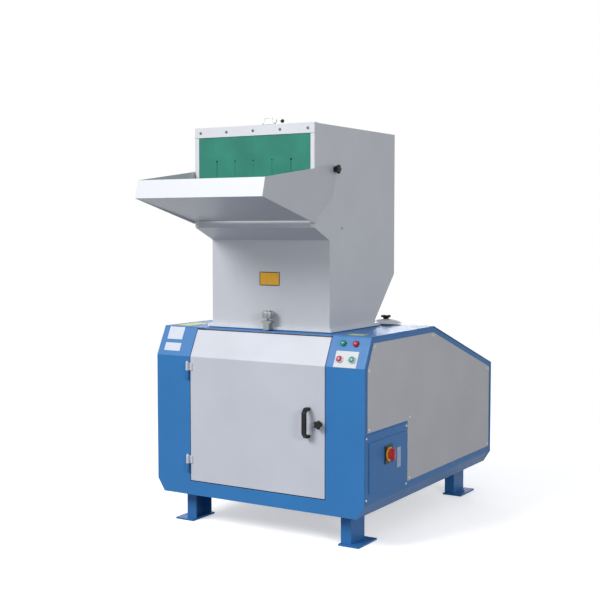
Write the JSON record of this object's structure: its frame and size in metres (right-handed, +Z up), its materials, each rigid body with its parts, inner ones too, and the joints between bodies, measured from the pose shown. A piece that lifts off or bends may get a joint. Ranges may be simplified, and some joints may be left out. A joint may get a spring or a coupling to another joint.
{
  "type": "plastic granulator",
  "caption": "Floor-standing plastic granulator with a blue sheet steel cabinet, front door, grey tilting hopper, green curtain and fold-up feed tray.",
  "frame": {"origin": "On the floor, midway between the four anchor holes of the feet.", "axes": "+Z is up, -Y is the front with the door and the hopper's mouth, +X is the right side with the controls and the isolator, seen from the front."},
  "size_m": [1.0978, 1.7721, 1.7905],
  "materials": {
    "cabinet_blue": "satin powder coat",
    "frame_blue": "satin powder coat",
    "panel_grey": "fine textured powder coat",
    "door_grey": "satin powder coat",
    "hopper_grey": "satin powder coat",
    "trim_white": "gloss enamel",
    "curtain_green": "matt flexible sheet",
    "knob_black": "fine grained thermoset",
    "red_plastic": "moulded",
    "green_plastic": "moulded",
    "white_plastic": "moulded",
    "steel": "ground and bright",
    "zinc": "zinc plated",
    "cast_iron": "machined casting",
    "belt_rubber": "fabric backed rubber"
  },
  "bodies": {
    "cabinet": {"front_frame": "cabinet_blue", "base_frame": "frame_blue", "feet": "frame_blue", "deck_plate": "frame_blue", "rear_cover": "frame_blue", "left_side_panel": "panel_grey", "right_side_panel": "panel_grey", "panel_screws": "zinc", "electrical_box": "zinc", "electrical_cover": "frame_blue", "contactor_rail": "white_plastic", "isolator_plate": "knob_black", "button_plate": "zinc", "green_lamp": "green_plastic", "red_lamp": "red_plastic", "door_hinges": "frame_blue", "hold_down_disc": "white_plastic", "chamber_sides": "steel", "knife_beds": "steel", "fixed_knives": "steel", "bearing_housings": "cast_iron", "rotor_bearings": "steel", "drive_belts": "belt_rubber", "motor_body": "frame_blue", "motor_base": "frame_blue", "bin_runners": "frame_blue", "hopper_hinges": "frame_blue"},
    "door": {"door_panel": "door_grey", "door_knuckles": "door_grey", "door_handle": "knob_black"},
    "door_knob": {"door_knob": "knob_black"},
    "bin": {"collection_bin": "zinc"},
    "hopper": {"hopper_body": "hopper_grey", "hopper_flange": "trim_white", "mouth_posts": "trim_white", "curtain_bar": "trim_white", "bar_screws": "zinc", "curtain": "curtain_green", "latch_block": "zinc", "tray_hinges": "zinc"},
    "clamp_washer": {"clamp_washer": "zinc"},
    "clamp_screw": {"clamp_screw": "zinc"},
    "tray": {"feed_tray": "hopper_grey"},
    "tray_knob_left": {"tray_knob_left": "knob_black"},
    "tray_knob_right": {"tray_knob_right": "knob_black"},
    "latch": {"latch_bail": "zinc"},
    "stop_button": {"stop_button": "red_plastic"},
    "start_button": {"start_button": "green_plastic"},
    "isolator": {"isolator_handle": "red_plastic"},
    "rotor": {"rotor_shaft": "steel", "rotor_body": "cast_iron", "rotor_blades": "steel", "rotor_pulley": "cast_iron", "flywheel": "cast_iron"},
    "motor_rotor": {"motor_shaft": "steel"},
    "cradle": {"screen_cradle": "cast_iron", "screen": "steel"},
    "hold_down_knob": {"hold_down_knob": "knob_black"}
  },
  "joints": [
    {"name": "door_swing", "type": "hinge", "parent": "cabinet", "child": "door", "pos_m": [-0.356, -0.68, 0.52], "axis": [0, 0, -1], "range_deg": [0, 110]},
    {"name": "door_knob_turn", "type": "hinge", "parent": "door", "child": "door_knob", "pos_m": [0.323, -0.672, 0.517], "axis": [0, -1, 0], "range_deg": [0, 360]},
    {"name": "bin_slide", "type": "slide", "parent": "cabinet", "child": "bin", "axis": [0, -1, 0], "range_m": [0, 0.288]},
    {"name": "hopper_tilt", "type": "hinge", "parent": "cabinet", "child": "hopper", "pos_m": [0, -0.12, 0.903], "axis": [-1, 0, 0], "range_deg": [0, 35]},
    {"name": "clamp_lift", "type": "slide", "parent": "hopper", "child": "clamp_washer", "axis": [0, 0, -1], "range_m": [0, 0.0097]},
    {"name": "clamp_turn", "type": "hinge", "parent": "clamp_washer", "child": "clamp_screw", "pos_m": [0.014, -0.592, 0.95], "axis": [0, 0, -1], "range_deg": [0, 1980]},
    {"name": "tray_fold", "type": "hinge", "parent": "hopper", "child": "tray", "pos_m": [0, -0.6895, 1.362], "axis": [-1, 0, 0], "range_deg": [0, 70]},
    {"name": "left_tray_knob_turn", "type": "hinge", "parent": "tray", "child": "tray_knob_left", "pos_m": [-0.31, -0.532, 1.5735], "axis": [-1, 0, 0], "range_deg": [0, 360]},
    {"name": "right_tray_knob_turn", "type": "hinge", "parent": "tray", "child": "tray_knob_right", "pos_m": [0.31, -0.532, 1.5735], "axis": [1, 0, 0], "range_deg": [0, 360]},
    {"name": "latch_swing", "type": "hinge", "parent": "hopper", "child": "latch", "pos_m": [0.07, -0.65, 1.7645], "axis": [1, 0, 0], "range_deg": [0, 40]},
    {"name": "stop_press", "type": "slide", "parent": "cabinet", "child": "stop_button", "axis": [0, 0.8959, -0.4443], "range_m": [0, 0.004], "stiffness_N_per_m": 400},
    {"name": "start_press", "type": "slide", "parent": "cabinet", "child": "start_button", "axis": [0, 0.8959, -0.4443], "range_m": [0, 0.004], "stiffness_N_per_m": 400},
    {"name": "isolator_turn", "type": "hinge", "parent": "cabinet", "child": "isolator", "pos_m": [0.54, -0.462, 0.37867], "axis": [1, 0, 0], "range_deg": [0, 90]},
    {"name": "motor_spin", "type": "hinge", "parent": "cabinet", "child": "motor_rotor", "pos_m": [-0.4, 0.30807, 0.36], "axis": [1, 0, 0], "continuous": true},
    {"name": "rotor_spin", "type": "hinge", "parent": "cabinet", "child": "rotor", "pos_m": [0, -0.353, 0.725], "axis": [1, 0, 0], "continuous": true},
    {"name": "screen_swing", "type": "hinge", "parent": "cabinet", "child": "cradle", "pos_m": [0, -0.166, 0.678], "axis": [1, 0, 0], "range_deg": [0, 18]},
    {"name": "hold_down_turn", "type": "hinge", "parent": "cabinet", "child": "hold_down_knob", "pos_m": [0.3, -0.032, 0.915], "axis": [0, 0, 1], "range_deg": [0, 360]}
  ],
  "couplings": [
    {"joint": "bin_slide", "follows": "door_swing", "m_per_rad": 0.15},
    {"joint": "clamp_lift", "follows": "clamp_turn", "m_per_rad": 0.00027852},
    {"joint": "rotor_spin", "follows": "motor_spin", "ratio": 0.44444}
  ]
}
